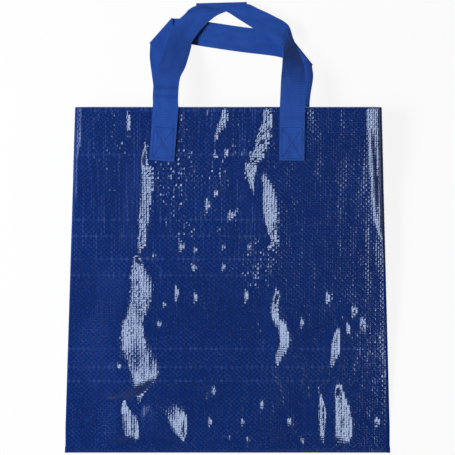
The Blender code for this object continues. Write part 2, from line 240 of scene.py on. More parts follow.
# azimuth and angle from straight above in degrees; strength is the brightness of the lit face itself
softboxes = {
    "rightSoftbox": {
        "azimuth": -8, "fromVertical": 28, "width": 1.7, "height": 0.40,
        "strength": 4.4, "colour": (0.86, 0.92, 1.0), "hiddenFrom": "visible_diffuse",
    },
    "leftSoftbox": {
        "azimuth": 174, "fromVertical": 40, "width": 0.9, "height": 0.5,
        "strength": 20.5, "colour": (1.0, 1.0, 1.0), "hiddenFrom": "visible_glossy",
    },
    "edgeSoftbox": {
        "azimuth": 176, "fromVertical": 46, "width": 1.6, "height": 0.24,
        "strength": 3.0, "colour": (0.86, 0.92, 1.0), "hiddenFrom": "visible_diffuse",
    },
}


def makeCamera():
    deselectAll()
    place = (0, studio["pictureMiddle"], studio["cameraHeight"])
    bpy.ops.object.camera_add(location=place, rotation=(0, 0, 0))
    camera = bpy.context.object
    camera.data.lens = studio["lens"]
    camera.data.sensor_width = 36.0
    camera.data.clip_end = 50.0
    bpy.context.scene.camera = camera


def addSoftbox(name, azimuth, fromVertical, width, height, strength, colour, hiddenFrom):
    # width runs level, height up and down
    turn, fall = math.radians(azimuth), math.radians(fromVertical)
    away = Vector((math.cos(turn) * math.sin(fall), math.sin(turn) * math.sin(fall), math.cos(fall)))
    deselectAll()
    bpy.ops.object.light_add(type="AREA", location=away * studio["lampDistance"])
    lamp = bpy.context.object
    lamp.name = name
    lamp.rotation_euler = away.to_track_quat("Z", "Y").to_euler()
    lamp.data.shape = "RECTANGLE"
    lamp.data.size = width
    lamp.data.size_y = height
    lamp.data.energy = strength * math.pi * width * height
    lamp.data.color = colour
    setattr(lamp, hiddenFrom, False)


def seesBackground(graph, mirrored=1.0):
    # 1 for camera rays; rays by way of gloss or glass count by the share mirrored
    camera, glossy, through = (graph.node("ShaderNodeLightPath", output=name)
                               for name in ("Is Camera Ray", "Is Glossy Ray", "Is Transmission Ray"))
    return camera.atLeast((glossy + through).atMost(1.0) * mirrored)


def makeStudio():
    # the left one lights the cloth and throws the shadows, the other two show in the film
    for name, box in softboxes.items():
        addSoftbox(name, **box)
    world = bpy.data.worlds.new("studio")
    bpy.context.scene.world = world
    graph = Graph(world, "Background")
    _, _, upward = graph.split(graph.node("ShaderNodeTexCoord"))
    low, high = studio["overhead"]
    room = graph.node("ShaderNodeMapRange", {"interpolation_type": "SMOOTHSTEP"},
                      {"Value": upward, "From Min": low, "From Max": high,
                       "To Min": studio["walls"], "To Max": studio["ceiling"]})
    white = seesBackground(graph, 1 - upward.band(*studio["horizon"]))
    graph.finish({"Color": (0.94, 0.97, 1.0), "Strength": room + (1 - room) * white})
    bpy.context.scene.view_settings.view_transform = "Standard"


def makeFloor():
    deselectAll()
    bpy.ops.mesh.primitive_plane_add(size=6.0, location=(0, 0, 0))
    floor = bpy.context.object
    floor.name = "paleFloor"
    graph = Graph(bpy.data.materials.new("paleFloor"))
    graph.finish({"Base Color": (0.86, 0.86, 0.86), "Roughness": 0.9, "Specular IOR Level": 0.1})
    glow = graph.node("ShaderNodeEmission", None, {"Color": (1.0, 1.0, 1.0), "Strength": 1.0})
    graph.mixIn(seesBackground(graph) * studio["floorGlow"], glow)
    floor.data.materials.append(graph.owner)
    floor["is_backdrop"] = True


makeCamera()
makeStudio()
makeFloor()
print("camera, lights and floor placed")


# Materials

film = {
    "warp": (0.0065, 0.0430, 0.2550),
    "warpDark": (0.0032, 0.0240, 0.1700),
    "weft": (0.0030, 0.0210, 0.1450),
    "gap": (0.0020, 0.0145, 0.1050),
    # lighter blue painted onto the film as painted highlight: shine of the tapes' lengthwise folds and of some
    # weft rows
    "paintedShine": (0.0620, 0.1150, 0.3600),
    "roughness": 0.11,
    "ior": 2.2,
    "gloss": (0.74, 0.84, 1.0),
    "tapeHeight": 0.00018,
    "tapeTilt": 0.00010,
    "wrinkle": 0.00031,
    "crinkle": 0.00010,
    "middleTape": 300,  # number of the tape in the front's middle
    "sideFold": 64,  # tapes from there to the side edge
    "calmTapes": (314, 326),  # from here on the fabric lies smooth at the upper right
    "calmRows": (55, 75),
    "shineRows": (31, 37, 45, 77, 84, 94, 101, 129, 148),  # wefts whose dots get a painted highlight
    "segmentLength": 15,  # wefts between two changes of a tape's lean and of its painted streak of shine
    "wornWidth": 0.8,  # tapes on either side of the side edge
    "wornGrowth": 0.022,  # and how much more for each weft further up
}


def makeWovenFilm():
    graph = Graph(bpy.data.materials.new("wovenFilm"))
    place = graph.node("ShaderNodeUVMap", {"uv_map": "weave"})
    u, v, _ = graph.split(place)  # u counts tapes round the bag, v counts wefts from the bottom up
    tape, weft = u.floor(), v.floor()
    across = u - tape - 0.5
    along = v - weft - 0.5
    warpOnTop = ((tape + weft) * 0.5).fract() * 2
    roundAcross = 1 - (across * 2) ** 2
    roundAlong = 1 - (along * 2) ** 2
    warpFloat = roundAcross * 0.35 + roundAlong * 0.65
    weftFloat = roundAlong * 0.5 + roundAcross * 0.2
    weave = warpFloat * warpOnTop + weftFloat * (1 - warpOnTop)

    # how single tapes lean
    leanAcross, leanAlong, shade = graph.whiteNoise(tape, weft)
    stagger, _, _ = graph.whiteNoise(tape, -3.0)
    tapeLean, tapeStreakPlace, tapeShade = graph.whiteNoise(tape, (v / film["segmentLength"] + stagger).floor())
    lean = (leanAcross - 0.5 + (tapeLean - 0.5) * 0.8) * across + (leanAlong - 0.5) * along * 0.7
    wrinkles = graph.noise(graph.join(u * 0.16, v * 0.035), 2.2, 3.0)
    crinkles = graph.noise(graph.join(u * 0.5, v * 0.22), 1.0, 2.0)
    calm = u.band(*film["calmTapes"]) * v.band(*film["calmRows"])
    patches = graph.noise(graph.join(u * 0.035, v * 0.022), 1.6, 3.0).band(0.42, 0.62) * (1 - calm)
    glint = shade * shade * shade * patches * (v.band(20, 120) * 0.6 + 0.6)
    lean = lean + (1 - warpOnTop) * across * 0.5 - glint * across * 3.5
    wrinkles = wrinkles * (1 - calm * 0.7)
    tapes = weave * film["tapeHeight"] + lean * film["tapeTilt"]
    height = tapes * (v.band(50, 90) * 0.35 + 0.65) + wrinkles * film["wrinkle"] + crinkles * film["crinkle"]

    # colours
    # painted highlight: dots of these weft rows are painted in the lighter shine colour
    paintedRowShine = 0.0
    for rowPlace in film["shineRows"]:
        paintedRowShine = paintedRowShine + (1 - (weft - rowPlace).size().band(0.4, 0.6))
    paintedRowShine = paintedRowShine * (1 - warpOnTop) * wrinkles.band(0.35, 0.6)
    edge = (roundAcross * roundAlong).band(0.0, 0.30)
    tone = graph.noise(graph.join(u * 0.02, v * 0.02), 2.0, 3.0).band(0.35, 0.65)
    warpColour = graph.blend(tone * 0.5 + shade * 0.3 + tapeShade * 0.2, film["warpDark"], film["warp"])
    colour = graph.blend(warpOnTop, film["weft"], warpColour)
    colour = graph.blend(edge, film["gap"], colour)
    # painted highlight: lighter streaks along the warp tapes stand for the shine of their lengthwise folds
    fromStreakLine = (across + (tapeStreakPlace - 0.5) * 0.5).size()
    segment = 1 - ((v / film["segmentLength"] + stagger).fract() * 2 - 1) ** 4
    paintedStreak = (1 - fromStreakLine.band(0.06, 0.20)) * tapeShade.band(0.45, 0.9) * segment * wrinkles.band(0.3, 0.6)
    paintedStreak = paintedStreak * (v.band(60, 110) * 0.8 + 0.1) * (warpOnTop * 0.7 + 0.3)
    colour = graph.blend(paintedStreak, colour, film["paintedShine"])
    colour = graph.blend(paintedRowShine * 0.4, colour, film["paintedShine"])

    # the film is rubbed off along the side edges
    fromSide = ((u - film["middleTape"]).size() - film["sideFold"]).size()
    worn = 1 - (fromSide - film["wornWidth"] - v * film["wornGrowth"]).band(0.0, 0.8)
    bare = graph.node("ShaderNodeBsdfPrincipled", None,
                      {"Base Color": colour, "Roughness": 0.7, "Specular IOR Level": 0.05})
    graph.mixIn(worn, bare)
    return graph.finish({
        "Base Color": colour,
        "Roughness": film["roughness"] + (1 - edge) * 0.07 + (1 - warpOnTop) * 0.02,
        "IOR": film["ior"],
        "Specular Tint": film["gloss"],
        "Normal": graph.bump(height),
    })


webbingLook = {
    "colour": (0.023, 0.090, 0.420),
    "darker": (0.010, 0.042, 0.235),
    "roughness": 0.72,
    "yarnHeight": 0.00008,
    "fuzzHeight": 0.00006,
    "bendShadeRibs": (37.5, 42.5),  # ribs of the front handle's left leg where painted shade stands for a bend in the strap
}


def makeWebbing():
    graph = Graph(bpy.data.materials.new("webbing"))
    place = graph.node("ShaderNodeUVMap", {"uv_map": "strap"})
    u, v, _ = graph.split(place)  # u counts warp yarns across, v counts ribs
    yarn = (u * math.pi).sine().size()
    rib = (v * math.pi).sine().size()
    fuzz = graph.noise(graph.join(u * 3.0, v * 1.5), 3.0, 3.0)
    tone = graph.noise(graph.join(u * 0.1, v * 0.06), 1.5, 2.0).band(0.3, 0.7)
    colour = graph.blend(rib * 0.6 + tone * 0.35 + fuzz * 0.15, webbingLook["darker"], webbingLook["colour"])
    # painted shade: darker bands across the front handle's left leg where the strap bends
    paintedBendShade = 0.0
    for ribPlace in webbingLook["bendShadeRibs"]:
        paintedBendShade = paintedBendShade + (1 - (v - ribPlace).size().band(0.3, 1.8))
    colour = graph.blend(paintedBendShade * 0.5, colour, webbingLook["darker"])
    height = yarn * webbingLook["yarnHeight"] + fuzz * webbingLook["fuzzHeight"]
    return graph.finish({
        "Base Color": colour,
        "Roughness": webbingLook["roughness"] + (fuzz - 0.5) * 0.15,
        "Specular IOR Level": 0.25,
        "Sheen Weight": 0.06,
        "Sheen Roughness": 0.4,
        "Sheen Tint": (0.4, 0.6, 1.0),
        "Normal": graph.bump(height),
    })


threadLook = {
    "colour": (0.024, 0.080, 0.350),
    "darker": (0.013, 0.046, 0.240),
    "roughness": 0.55,
    "twist": 0.00045,  # length of one turn
    "twistHeight": 0.00005,
}


def makeThread():
    graph = Graph(bpy.data.materials.new("sewingThread"))
    place = graph.node("ShaderNodeTexCoord", output="Object")
    x, y, _ = graph.split(place)
    twist = ((x + y) * (math.pi / threadLook["twist"])).sine().size()
    fuzz = graph.noise(place, 900.0, 2.0)
    colour = graph.blend(twist * 0.7 + fuzz * 0.3, threadLook["darker"], threadLook["colour"])
    return graph.finish({
        "Base Color": colour,
        "Roughness": threadLook["roughness"] + (fuzz - 0.5) * 0.1,
        "Normal": graph.bump(twist * threadLook["twistHeight"]),
    })


wovenFilm = makeWovenFilm()
webbing = makeWebbing()
sewingThread = makeThread()
print("materials made")


# Bag body

bag = {
    "tubeWidth": 0.325,
    "length": 0.344,
    "openingLength": 0.318,
    "mouthDepth": 0.0368,
    "fabric": 0.0003,
    "flatGap": 0.0008,
    "floorGap": 0.0003,
    "tape": 0.65 / 256,  # width of one woven tape
    "weft": 0.344 / 150,
    "relief": 0.00010,  # how far a tape stands out where it lies on top
    "bottomHem": 0.006,
    "hemRelief": 0.0005,
    "hemFade": 0.013,  # the creases rise to their full height over this length above the hem
    "bottomHeight": 0.0011,
    "edgeRow": 0.0007,  # one more row of faces this far above the bottom edge
    "rimReach": 0.003,  # the mouth's edge is pressed together over this length
    "rimDrop": 0.0007,
    "patchLength": 0.053,
    "panelLift": 0.0023,
    "liftLength": 0.025,
    "lean": 0.0009,  # the mouth lies this far to the right of the bottom
    "frontColumns": 256,
    "backColumns": 64,
    "rows": 151,
}

# how the creases were traced on the photograph
tracing = {
    "middle": 227.5,  # pixel in the middle of the photograph, both ways
    "pixel": 1.0,  # millimetres of the floor in one pixel
    "widening": (1.5, 1.3),  # the ridges run out further than their highlights, to the left and to the right
    "leastLeft": 1.2,  # the left run-out is never shorter than this many times the right one
    "ridgeShare": 0.8,  # height of a crest as a share of its slope times its right run-out
    "puckerSlope": 0.28,
    "puckerWidening": 1.5,
}

# creases of the front panel, in pixels of the photograph: slope of the right side, then points from the
# mouth down, each the crest's column and row and the run-out to its left and to its right
creases = {
    "leftUpper": (0.235, [
        (147, 138, 3, 2), (145.5, 146, 5, 5), (143, 156, 8, 8), (139.5, 163, 11, 11), (139.3, 185, 12, 12),
        (138, 205, 12, 10.5), (137.3, 221, 12, 9.5), (137.3, 240, 11, 8), (137.7, 250, 8, 5), (138.5, 257, 4, 2),
    ]),
    "leftColumn": (0.225, [
        (137, 253, 3, 2), (133, 260, 8, 9), (130.5, 269, 13, 16), (128.5, 279, 18, 22), (127.5, 290, 22, 23),
        (126.5, 300, 23, 22), (124, 310, 24, 21), (120.5, 320, 26, 22), (117.5, 330, 28, 26),
        (115.5, 340, 31, 30), (115.5, 350, 33, 31), (118.5, 360, 34, 31), (123.5, 370, 33, 31),
        (128, 379, 29, 30), (132, 388, 22, 25), (135.5, 396, 10, 9),
    ]),
    "rightBranch": (0.24, [
        (149, 401, 5, 7), (155, 408, 8, 15), (162, 417, 9, 19), (169, 426, 9, 18), (175, 434, 8, 13),
        (181, 442, 4, 5),
    ]),
    "leftBranch": (0.235, [
        (122, 401, 4, 4), (118.5, 411, 7, 12), (119, 421, 8, 15), (120.5, 431, 8, 15), (121.5, 441, 7, 14),
        (122.5, 450, 6, 11),
    ]),
    "centreTop": (0.235, [
        (263, 106, 6, 6), (262.5, 118, 8, 8.5), (260, 128, 8, 9), (256, 138, 9, 11), (253.5, 150, 9, 11),
        (249, 159, 8, 9), (246, 167, 4, 6),
    ]),
    "centreUpper": (0.235, [
        (245.5, 153, 4, 5), (243.5, 163, 8, 10), (244, 174, 8, 11), (247, 183, 7, 11), (250.5, 191, 7, 11),
        (254, 199, 6, 10), (258, 206, 4, 5),
    ]),
    "centreMiddle": (0.235, [
        (260, 178, 4, 6), (261, 188, 7, 11), (261, 200, 8, 13), (261.5, 211, 8, 13), (263.5, 221, 8, 12),
        (267, 231, 6, 9), (271, 240, 4, 4),
    ]),
    "topMiddle": (0.24, [(222, 107, 4, 5), (219.5, 118, 5, 8), (215, 128, 5, 7), (213, 138, 4, 4)]),
    "lowRightInner": (0.235, [(319, 398, 4, 4), (318.5, 410, 7, 13), (319, 430, 7, 13), (320, 447, 6, 8)]),
    "lowRightOuter": (0.235, [
        (336, 388, 4, 5), (334.5, 400, 7, 10), (334.5, 420, 7, 14), (335, 438, 7, 14), (336, 449, 6, 8),
    ]),
    "lowCentre": (0.225, [
        (271, 300, 4, 5), (271, 318, 6, 7), (277, 330, 6, 9), (279, 342, 6, 9), (275, 354, 5, 7),
        (276, 363, 4, 3),
    ]),
    "lowRightMiddle": (0.235, [(336, 330, 4, 4), (332, 340, 6, 7), (330, 352, 6, 8), (329.5, 363, 4, 4)]),
    "slantingDent": (-0.40, [(134, 256.5, 2, 2), (142, 260, 5, 5), (152, 265, 5, 5), (160, 272, 3, 3)]),
    "crossDent": (-0.45, [(144, 399, 2, 2), (152, 399.5, 4, 4), (168, 400, 4, 4), (178, 401, 2, 2)]),
}
ownWidening = {
    "leftColumn": (1.3, 1.25),
    "leftBranch": (1.5, 1.5),
    "slantingDent": (1, 1),
    "crossDent": (1, 1),
}

# small puckers of the fabric in pixels: column, row from and to, width
puckers = [
    (213, 148, 158, 4), (224, 148, 158, 4), (205, 109, 115, 4), (196, 109, 116, 3), (247, 138, 143, 3),
    (248, 149, 158, 4), (204, 194, 219, 5), (213, 188, 199, 4), (214, 207, 216, 4), (227, 206, 222, 6),
    (235, 208, 214, 3), (221, 244, 250, 4), (221, 262, 272, 4), (247.5, 244, 250, 4), (267.5, 244, 250, 4),
    (180, 110, 122, 3), (126, 110, 133, 4), (178, 240, 254, 6), (190, 262, 272, 6), (193, 246, 254, 4),
    (151, 252, 259, 6), (174, 282, 303, 4), (193.5, 291, 303, 4), (244, 289, 303, 4), (274.5, 289, 303, 4),
    (325.5, 291, 303, 3), (334.5, 386, 396, 4), (300, 436, 446, 5), (286.5, 416, 427, 4), (374.5, 417, 426, 4),
    (374.5, 442, 449, 4), (240.5, 418, 426, 4), (211.5, 386, 396, 4), (207.5, 416, 428, 4),
    (112.5, 390, 400, 4), (116.5, 360, 372, 4), (92.5, 416, 428, 4), (217, 226, 232, 3), (205, 386, 400, 4),
    (246, 436, 444, 4), (260, 400, 410, 3), (228, 434, 442, 3), (162, 300, 309, 4), (156, 318, 330, 5),
    (300, 318, 328, 3), (352, 306, 316, 4), (360, 318, 330, 4), (346, 322, 334, 3),
]

# folds across the whole panel in millimetres: y, half width and height
crossFolds = {
    "packingFold": (2.0, 3.0, -0.35),
    "hemEdge": (124.0, 1.5, 0.2),
}

# soft swells of the front panel: height in millimetres, waves across and along, seed
swells = {
    "broad": (0.9, 0.016, 0.011, 3.1),
    "upper": (0.5, 0.055, 0.014, 7.7),  # only towards the mouth
    "small": (0.18, 0.12, 0.05, 12.3),
}

perimeter = 2 * bag["tubeWidth"]
mouthY = bag["length"] / 2
bottomY = -mouthY
flatY = mouthY - bag["openingLength"]
flatDepth = 2 * bag["fabric"] + bag["flatGap"]


def tubeSection(y):
    # half the width of the flat part, half the depth and the height of the lower panel
    share = np.clip((y - flatY) / bag["openingLength"], 0.0, 1.0)
    depth = flatDepth + (bag["mouthDepth"] - flatDepth) * share
    liftStart = mouthY - bag["patchLength"] - bag["liftLength"]
    lift = bag["panelLift"] * np.clip((y - liftStart) / bag["liftLength"], 0, 1)
    return (perimeter - math.pi * depth) / 4, depth / 2, bag["floorGap"] + lift


def tubeWall(s, y):
    # place and outward direction at a distance s round the tube from the front's middle, s from -half to half
    flat, radius, low = tubeSection(y)
    side = np.sign(s)
    s = np.abs(s)
    turn = np.clip((s - flat) / radius, 0.0, math.pi)
    onBack = s > flat + math.pi * radius
    x = np.where(s < flat, s, np.where(onBack, perimeter / 2 - s, flat + radius * np.sin(turn)))
    z = low + radius * (1 + np.cos(turn))
    return side * x, z, side * np.sin(turn), np.cos(turn)


def tent(q):
    # 1 at 0 and 0 at 1, straight between, with a soft crest and foot
    soft = 0.2
    q = np.clip(q, 0.0, 1.0)
    fall = np.where(q < soft, q * q / (2 * soft * (1 - soft)), (q - soft / 2) / (1 - soft))
    return 1 - np.where(q > 1 - soft, 1 - (1 - q) ** 2 / (2 * soft * (1 - soft)), fall)


def onPanel(column, row):
    # x and y in millimetres of the place on the front panel that a pixel shows, and its enlargement there,
    # since the panel is nearer to the camera than the floor
    enlargement = 1.0
    for _ in range(7):
        y = studio["pictureMiddle"] * 1000 + (tracing["middle"] - row) * tracing["pixel"] / enlargement
        flat, radius, low = tubeSection(y / 1000)
        enlargement = studio["cameraHeight"] / (studio["cameraHeight"] - low - 2 * radius)
    x = (column - tracing["middle"]) * tracing["pixel"] / enlargement
    return x - bag["lean"] * (y - bottomY * 1000) / bag["length"], y, enlargement


def tracedPoints(name, points):
    # crest and run-outs of a crease in millimetres
    widenLeft, widenRight = ownWidening.get(name, tracing["widening"])
    made = []
    for column, row, left, right in points:
        x, y, enlargement = onPanel(column, row)
        scale = tracing["pixel"] / enlargement
        right *= widenRight
        left = max(left * widenLeft, right * tracing["leastLeft"])
        made.append((x, y, left * scale, right * scale))
    return made


def smoothPath(points, steps=4):
    # a curve through all points; no run-out gets shorter than half a millimetre
    rows = np.array([points[0], *points, points[-1]], dtype=float)
    path = []
    for a, b, c, d in zip(rows, rows[1:], rows[2:], rows[3:]):
        for t in np.arange(steps) / steps:
            bow = (2 * a - 5 * b + 4 * c - d) * t**2 + (3 * b - a - 3 * c + d) * t**3
            path.append(b + ((c - a) * t + bow) / 2)
    return np.maximum(np.array([*path, rows[-1]]), [-np.inf, -np.inf, 0.5, 0.5])


def ridgeRise(x, y, slope, points):
    # height of a ridge along a path, everything in millimetres; a negative slope makes a dent
    points = smoothPath(points)
    nearest = np.full_like(x, 1e9)
    rise = np.zeros_like(x)
    for start, end in zip(points, points[1:]):
        dx, dy = end[0] - start[0], end[1] - start[1]
        share = np.clip(((x - start[0]) * dx + (y - start[1]) * dy) / (dx * dx + dy * dy), 0.0, 1.0)
        ox, oy = x - start[0] - share * dx, y - start[1] - share * dy
        distance = np.hypot(ox, oy)
        right = start[3] + (end[3] - start[3]) * share
        width = np.where(dx * oy - dy * ox > 0, right, start[2] + (end[2] - start[2]) * share)
        closer = distance < nearest
        nearest = np.where(closer, distance, nearest)
        rise = np.where(closer, slope * right * tracing["ridgeShare"] * tent(distance / width), rise)
    return rise


def creaseRise(x, y):
    total = np.zeros_like(x)
    for name, (slope, points) in creases.items():
        ridge = ridgeRise(x, y, slope, tracedPoints(name, points))
        total = np.maximum(total, ridge) if slope > 0 else total + ridge
    for column, start, end, width in puckers:
        place, top, _ = onPanel(column, start)
        _, foot, _ = onPanel(column, end)
        width *= tracing["puckerWidening"]
        points = [(place, top, 2, 1), (place, (top + foot) / 2, width * 2, width), (place, foot, 2, 1)]
        total += ridgeRise(x, y, tracing["puckerSlope"], points)
    return total


def noiseField(x, y, scaleX, scaleY, seed):
    return np.array([noise.noise(Vector((a * scaleX, b * scaleY, seed))) for a, b in zip(x, y)])


# strips beside the side edges in millimetres, so that the fold is tighter than a round tube:
# y, then from and to, measured in from the edge, and the slope of the strip
edgeStrips = {
    1: [(-172, 3, 0.5, 0.03), (0, 4, 1, 0.03), (40, 4, 2.5, 0.06), (47, 6.3, 3, 0.24), (60, 10.5, 3.5, 0.24),
        (80, 13.5, 4, 0.24), (95, 16, 4, 0.24), (172, 15, 4, 0.24)],
    -1: [(-172, 3, 0.5, 0.03), (0, 3, 1, 0.03), (70, 3, 1, 0.05), (80, 4, 1.5, 0.4), (125, 5, 1.5, 0.42),
         (135, 7.5, 2, 0.42), (172, 7.5, 2, 0.42)],
}


def edgeRise(s, x, y):
    # holds the panel flat as far as the strip, then slopes it down to the edge
    total = np.zeros_like(x)
    flat, radius = (value * 1000 for value in tubeSection(y)[:2])
    y = y * 1000
    for side, strip in edgeStrips.items():
        places = [row[0] for row in strip]
        start, end = (flat + radius - np.interp(y, places, [row[i] for row in strip]) for i in (1, 2))
        slope = np.interp(y, places, [row[3] for row in strip])
        reached = np.minimum(side * x * 1000, end)
        fallen = radius - np.sqrt(np.maximum(radius**2 - np.clip(reached - flat, 0, radius) ** 2, 0))
        held = 0.03 * np.clip(np.minimum(reached, start) - flat, 0, None)
        held = held + slope * np.clip(reached - start, 0, None)
        total += np.where(np.sign(s) == side, np.maximum(fallen - held, 0), 0)
    return total


def frontRise(x, y):
    # all that stands out of the smooth front panel, in millimetres
    rise = creaseRise(x, y)
    for place, reach, height in crossFolds.values():
        rise += height * np.clip(1 - np.abs(y - place) / reach, 0.0, 1.0)
    upper = smoothStep((y + 20) / 120)
    for name, (height, across, along, seed) in swells.items():
        rise += height * noiseField(x, y, across, along, seed) * (upper if name == "upper" else 1)
    return rise


def tapeRelief(s, y):
    # 1 on tapes that lie on top, less on those below, 0 between two tapes
    tape = np.floor(s / bag["tape"] + 1e-6)
    weft = np.floor((y - bottomY) / bag["weft"] + 1e-6)
    checker = np.where((tape + weft) % 2 > 0.5, 1.0, -0.6)
    halfTape = np.abs((s / bag["tape"]) % 1.0 - 0.5) < 0.25
    return np.where(halfTape, checker, 0.0)


def makeBagBody():
    backHalf = bag["backColumns"] // 2
    obj, column, row = addGrid("bagBody", bag["frontColumns"] + bag["backColumns"], bag["rows"])
    quarter = perimeter / 4
    columnPlace = np.concatenate([
        np.linspace(-2 * quarter, -quarter, backHalf + 1)[:-1],
        np.linspace(-quarter, quarter, bag["frontColumns"] + 1),
        np.linspace(quarter, 2 * quarter, backHalf + 1)[1:],
    ])
    evenRows = np.linspace(bottomY, mouthY, bag["rows"])
    rowPlace = np.concatenate([[bottomY, bottomY + bag["edgeRow"]], evenRows[1:]])
    s, y = columnPlace[column], rowPlace[row]
    x, z, outX, outZ = tubeWall(s, y)
    facing = smoothStep(outZ / 0.6)

    # creases, tapes and hem
    onFront = facing > 0
    rise = np.zeros_like(x)
    rise[onFront] = frontRise(x[onFront] * 1000, y[onFront] * 1000) / 1000
    aboveHem = smoothStep((y - bottomY - bag["bottomHem"]) / bag["hemFade"])
    rise = rise * facing * patchClearance(x, y) * aboveHem
    rise = rise + bag["relief"] * tapeRelief(s, y) * (outZ > -0.2)
    rise = rise + bag["hemRelief"] * (y < bottomY + bag["bottomHem"]) * (outZ > 0)
    z = z + rise * np.where(outZ > 0, outZ, 0) + facing * edgeRise(s, x, y) / 1000
    x = x + rise * outX

    # rim of the mouth, lean and bottom edge
    rim = np.clip(1 - (mouthY - y) / bag["rimReach"], 0, 1) ** 2
    z = z - bag["rimDrop"] * rim * np.sign(outZ) * (np.abs(outZ) > 0.5)
    x = x + bag["lean"] * (y - bottomY) / bag["length"]
    z = np.where(row == 0, bag["bottomHeight"], z)

    tapeNumber = s / bag["tape"] + film["middleTape"]
    setUv(obj, "weave", np.stack([tapeNumber, (y - bottomY) / bag["weft"]], axis=1))
    setPlaces(obj, np.stack([x, y, z], axis=1))
    closeTube(obj)
    solid = obj.modifiers.new("thickness", "SOLIDIFY")
    solid.thickness = bag["fabric"]
    solid.offset = -1.0
    applyModifiers(obj)
    bpy.ops.object.shade_smooth()
    obj.data.materials.append(wovenFilm)
    return obj


def patchClearance(x, y):
    # 0 under the sewn ends of the front handle, 1 well away from them
    fromStrap = np.abs(np.abs(x - handle["frontShift"]) - handle["frontSpacing"] / 2)
    beside = fromStrap - handle["width"] / 2
    below = (mouthY - bag["patchLength"]) - y
    away = np.hypot(np.maximum(beside, 0), np.maximum(below, 0))
    return smoothStep((away - 0.001) / 0.008)


def closeTube(obj):
    # joins the long seam at the back and the two panels along the bottom edge
    makeActive(obj)
    bpy.ops.object.mode_set(mode="EDIT")
    bpy.ops.mesh.select_all(action="SELECT")
    bpy.ops.mesh.remove_doubles(threshold=0.00004)
    bpy.ops.mesh.normals_make_consistent(inside=False)
    bpy.ops.object.mode_set(mode="OBJECT")


# Handles

handle = {
    "width": 0.025,
    "thickness": 0.0013,
    "ribPitch": 0.0017,
    "ribHeight": 0.00012,
    "yarns": 22,  # across the strap
    "seat": 0.0003,
    "foldSeat": 0.0004,
    "looseRoll": 0.0042,
    "frontSpacing": 0.1283,
    "frontShift": -0.0008,
    "frontSlants": {-1: math.radians(4.5), 1: math.radians(0.6)},
    "frontReach": 0.1045,
    "backSpacing": 0.1317,
    "backShift": 0.0036,
    "backReach": 0.0895,
    "thread": 0.0004,
}

# stations of a route: x as a share of half the spacing, reach above the mouth, height share,
# direction across the strap in degrees, tilt in degrees, stretch of the cross line
frontClimb = [
    (-0.940, 0.083, 1.015, -3, 0, 1.0), (-0.932, 0.178, 0.985, -3, 0, 1.0), (-0.904, 0.303, 0.83, -10, 0, 1.0),
    (-0.822, 0.422, 0.60, -20, 0, 1.0), (-0.770, 0.531, 0.38, -20, 0, 1.0), (-0.726, 0.630, 0.21, -28, 0, 1.0),
    (-0.680, 0.718, 0.11, -40, 0, 1.0), (-0.520, 0.830, 0.06, -47, 0, 0.90), (-0.436, 0.885, 0.05, -28, 0, 0.95),
    (-0.324, 0.932, 0.05, -14, 0, 1.12),
]
frontFold = (-0.080, 0.984, 0.05, 1.5, 0, 2.02)
frontFall = [
    (0.064, 0.975, 0.185, 2, 0, 1.62), (0.237, 0.936, 0.180, 5, 0, 1.28), (0.415, 0.876, 0.21, 12, 0, 1.18),
    (0.585, 0.814, 0.265, 21, 4, 1.08), (0.747, 0.751, 0.35, 38, 10, 0.96), (0.867, 0.695, 0.44, 52, 22, 0.90),
    (0.943, 0.617, 0.54, 45, 44, 0.80), (0.979, 0.544, 0.64, 18, 46, 0.84), (1.002, 0.474, 0.73, -1, 38, 0.90),
    (1.024, 0.390, 0.815, -6, 24, 0.95), (1.018, 0.249, 0.945, -2, 10, 0.96), (1.012, 0.093, 1.005, 0, 0, 0.98),
]
backClimb = [
    (-0.997, 0.097, 0.0, 0, 0, 1.0), (-0.989, 0.231, 0.0, 3, 0, 1.0), (-1.014, 0.388, 0.0, 5, 0, 1.0),
    (-1.046, 0.589, 1.0, 5, 0, 1.0),
]
backLeftFold = (-1.056, 0.865, 1.0, 48.5, 0, 1.36)
backRun = [
    (-0.701, 0.865, 0.0, 85, 0, 1.0), (-0.329, 0.825, 0.8, 83, 0, 1.0), (0.134, 0.774, 1.2, 82.5, 0, 1.0),
    (0.590, 0.734, 1.0, 82, 0, 1.0), (0.745, 0.716, 1.0, 80, 0, 1.0),
]
backRightFold = (1.059, 0.634, 0.0, 128.5, 0, 1.42)
backFall = [
    (1.058, 0.377, 0.0, 173, 0, 1.0), (1.020, 0.187, 0.0, 174, 0, 1.0), (1.003, 0.075, 0.0, 177, 0, 1.0),
]

mitreLift = handle["thickness"] + handle["foldSeat"]
patchY = mouthY - bag["patchLength"]
backStrapZ = handle["thread"] + handle["seat"] + handle["thickness"] / 2


def frontStrapZ(y):
    flat, radius, low = tubeSection(np.float64(y))
    return float(low + 2 * radius) + bag["floorGap"] + handle["seat"] + handle["thickness"] / 2


def crossLine(centre, angle, tilt, stretch):
    half = Vector((math.cos(angle) * math.cos(tilt), math.sin(angle) * math.cos(tilt), -math.sin(tilt)))
    half *= handle["width"] * stretch / 2
    return centre - half, centre + half


def frontEndMiddle(side, y):
    slant = math.tan(handle["frontSlants"][side]) * (y - patchY)
    x = side * handle["frontSpacing"] / 2 + handle["frontShift"] + slant
    return Vector((x, y, frontStrapZ(y)))


def frontStation(station):
    x, reach, rise, angle, tilt, stretch = station
    low = handle["thickness"] / 2 + 2 * mitreLift + handle["seat"]
    centre = Vector((x * handle["frontSpacing"] / 2 + handle["frontShift"],
                     mouthY + reach * handle["frontReach"],
                     low + (frontStrapZ(mouthY) - low) * rise))
    return crossLine(centre, math.radians(angle), math.radians(tilt), stretch)


def backStation(station):
    x, reach, rise, angle, tilt, stretch = station
    start = backStrapZ if reach < 0.1 else handle["thickness"] / 2
    centre = Vector((x * handle["backSpacing"] / 2 + handle["backShift"],
                     mouthY + reach * handle["backReach"],
                     start + rise * mitreLift))
    return crossLine(centre, math.radians(angle), math.radians(tilt), stretch)


